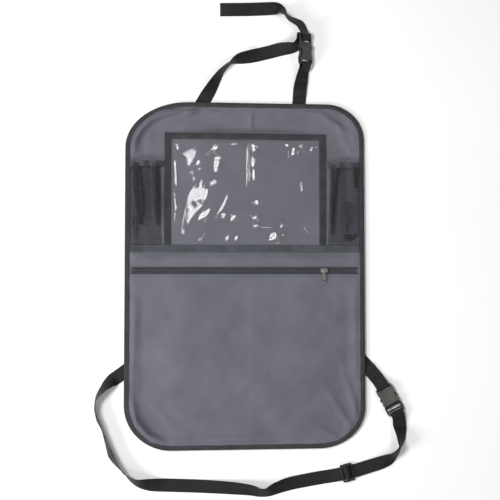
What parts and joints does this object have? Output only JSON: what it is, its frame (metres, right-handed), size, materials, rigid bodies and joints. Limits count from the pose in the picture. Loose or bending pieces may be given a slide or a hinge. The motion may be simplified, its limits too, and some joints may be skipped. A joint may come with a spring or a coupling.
{
  "type": "car seat back organizer",
  "caption": "Seat back organizer: bound cloth panel with a clear tablet window, mesh side pockets, a zipped pocket and buckled straps.",
  "frame": {"origin": "on the flat back of the panel, at the middle of its nominal rectangle, at the table's height", "axes": "+X to the right seen from the front, +Y towards the headrest end, +Z out of the pocket face"},
  "size_m": [0.5864, 0.9302, 0.0319],
  "materials": {
    "pocket_cloth": "dark grey woven polyester with a slight sheen",
    "binding_tape": "near black woven binding tape",
    "clear_film": "clear soft vinyl film, glossy and rippled",
    "pocket_mesh": "black knitted mesh",
    "elastic_band": "dark ribbed elastic",
    "zip_tape": "black woven zip tape",
    "zip_coil": "black nylon coil",
    "zip_metal": "nickel plated die casting",
    "webbing": "black woven webbing",
    "buckle_plastic": "black moulded acetal"
  },
  "bodies": {
    "organizer": {"back_panel": "pocket_cloth", "pocket_panel": "pocket_cloth", "facing_strip": "pocket_cloth", "edge_binding": "binding_tape", "cross_binding": "binding_tape", "window_binding_top": "binding_tape", "window_binding_left": "binding_tape", "window_binding_right": "binding_tape", "window_film": "clear_film", "mesh_pocket_left": "pocket_mesh", "mesh_pocket_right": "pocket_mesh", "mesh_elastic_left": "elastic_band", "mesh_elastic_right": "elastic_band", "zip_tape_upper": "zip_tape", "zip_tape_lower": "zip_tape", "zip_coil_upper": "zip_coil", "zip_coil_lower": "zip_coil", "head_strap_left": "webbing", "head_strap_right": "webbing", "waist_strap_left": "webbing", "waist_strap_right": "webbing", "head_buckle_socket": "buckle_plastic", "head_buckle_plug": "buckle_plastic", "waist_buckle_socket": "buckle_plastic", "waist_buckle_plug": "buckle_plastic", "strap_adjuster": "buckle_plastic"},
    "slider": {"zip_slider": "zip_metal"},
    "pull": {"zip_pull": "zip_metal"}
  },
  "joints": [
    {"name": "zip_slide", "type": "slide", "parent": "organizer", "child": "slider", "axis": [1, -0.0006, 0], "range_m": [-0.3415, 0.0425]},
    {"name": "pull_swing", "type": "hinge", "parent": "slider", "child": "pull", "pos_m": [0.14945, 0.01082, 0.0088], "axis": [-1, 0, 0], "range_deg": [0, 186]}
  ]
}
